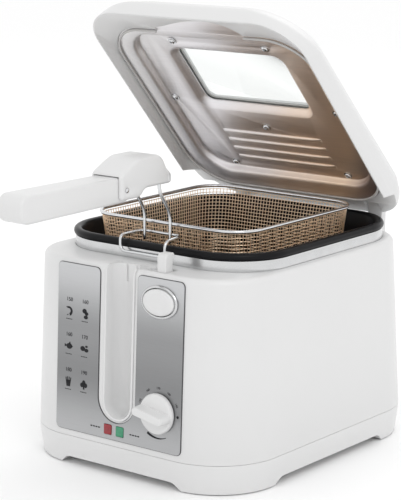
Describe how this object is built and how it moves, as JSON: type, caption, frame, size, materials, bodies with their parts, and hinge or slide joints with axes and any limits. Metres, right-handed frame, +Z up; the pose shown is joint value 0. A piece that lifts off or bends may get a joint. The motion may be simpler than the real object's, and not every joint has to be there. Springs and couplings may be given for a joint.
{
  "type": "deep fryer",
  "caption": "Countertop deep fryer with a hinged window lid, an enamelled oil pot, a lift-out wire basket with a folding handle, a dial and a lid release button.",
  "frame": {"origin": "on the floor under the centre of the whole object's footprint, the raised handle included", "axes": "+Z up, +Y from the front panel to the hinge, +X to the right as seen from the front"},
  "size_m": [0.235, 0.403, 0.3784],
  "materials": {
    "white_plastic": "satin gloss",
    "silver_panel": "brushed",
    "bright_steel": "polished",
    "black_enamel": "semi-gloss enamel",
    "liner_metal": "satin",
    "rubber": "matte",
    "black_plastic": "matte",
    "silicone": "satin",
    "window_glass": "polished",
    "ceramic": "matte",
    "red_lens": "gloss",
    "green_lens": "gloss",
    "felt": "matte"
  },
  "bodies": {
    "housing": {"base_tray": "white_plastic", "housing_shell": "white_plastic", "handle_channel": "white_plastic", "button_guide": "white_plastic", "control_panel": "silver_panel", "button_bezel": "silver_panel", "heat_plate": "liner_metal", "trim_ring": "bright_steel", "oil_pot": "black_enamel", "heating_element": "bright_steel", "thermal_cutout": "ceramic", "sensor_bulb": "bright_steel", "sensor_capillary": "bright_steel", "thermostat": "ceramic", "terminal_block": "ceramic", "power_inlet": "black_plastic", "inlet_pin_line": "bright_steel", "inlet_pin_neutral": "bright_steel", "inlet_pin_earth": "bright_steel", "power_lamp": "red_lens", "ready_lamp": "green_lens", "lamp_board": "black_plastic", "hinge_pin_1": "bright_steel", "hinge_pin_2": "bright_steel", "foot_pad_1": "rubber", "base_screw_1": "bright_steel", "foot_pad_2": "rubber", "base_screw_2": "bright_steel", "foot_pad_3": "rubber", "base_screw_3": "bright_steel", "foot_pad_4": "rubber", "base_screw_4": "bright_steel"},
    "lid": {"lid_shell": "white_plastic", "lid_liner": "liner_metal", "lid_seal": "silicone", "window_glass": "window_glass", "window_seal": "silicone", "oil_filter": "felt", "filter_cover": "white_plastic", "liner_screw_1": "bright_steel", "liner_screw_2": "bright_steel", "liner_screw_3": "bright_steel", "liner_screw_4": "bright_steel", "liner_screw_5": "bright_steel", "liner_screw_6": "bright_steel", "liner_screw_7": "bright_steel"},
    "knob": {"thermostat_knob": "white_plastic"},
    "button": {"release_button": "white_plastic"},
    "catch": {"lid_catch": "white_plastic"},
    "basket": {"basket_mesh": "bright_steel", "basket_rim": "bright_steel", "drain_hook": "bright_steel", "handle_arm_1": "bright_steel", "handle_arm_2": "bright_steel", "handle_bracket": "white_plastic", "handle_pin": "bright_steel"},
    "handle": {"handle_grip": "white_plastic"}
  },
  "joints": [
    {"name": "lid_hinge", "type": "hinge", "parent": "housing", "child": "lid", "pos_m": [0, 0.1885, 0.2], "axis": [-1, 0, 0], "range_deg": [-25, 32]},
    {"name": "handle_fold", "type": "hinge", "parent": "basket", "child": "handle", "pos_m": [0, -0.0815, 0.2405], "axis": [1, 0, 0], "range_deg": [0, 90]},
    {"name": "knob_turn", "type": "hinge", "parent": "housing", "child": "knob", "pos_m": [0.0435, -0.07675, 0.0625], "axis": [0, -0.9988, 0.0479], "range_deg": [-80, 190]},
    {"name": "button_press", "type": "slide", "parent": "housing", "child": "button", "axis": [0, 0.9988, -0.0479], "range_m": [0, 0.003], "stiffness_N_per_m": 400},
    {"name": "catch_slide", "type": "slide", "parent": "housing", "child": "catch", "axis": [0, 1, 0], "range_m": [0, 0.002]},
    {"name": "basket_lift", "type": "slide", "parent": "housing", "child": "basket", "axis": [0, -0.2756, 0.9613], "range_m": [0, 0.04]}
  ],
  "couplings": [
    {"joint": "catch_slide", "follows": "button_press", "ratio": 0.6}
  ]
}
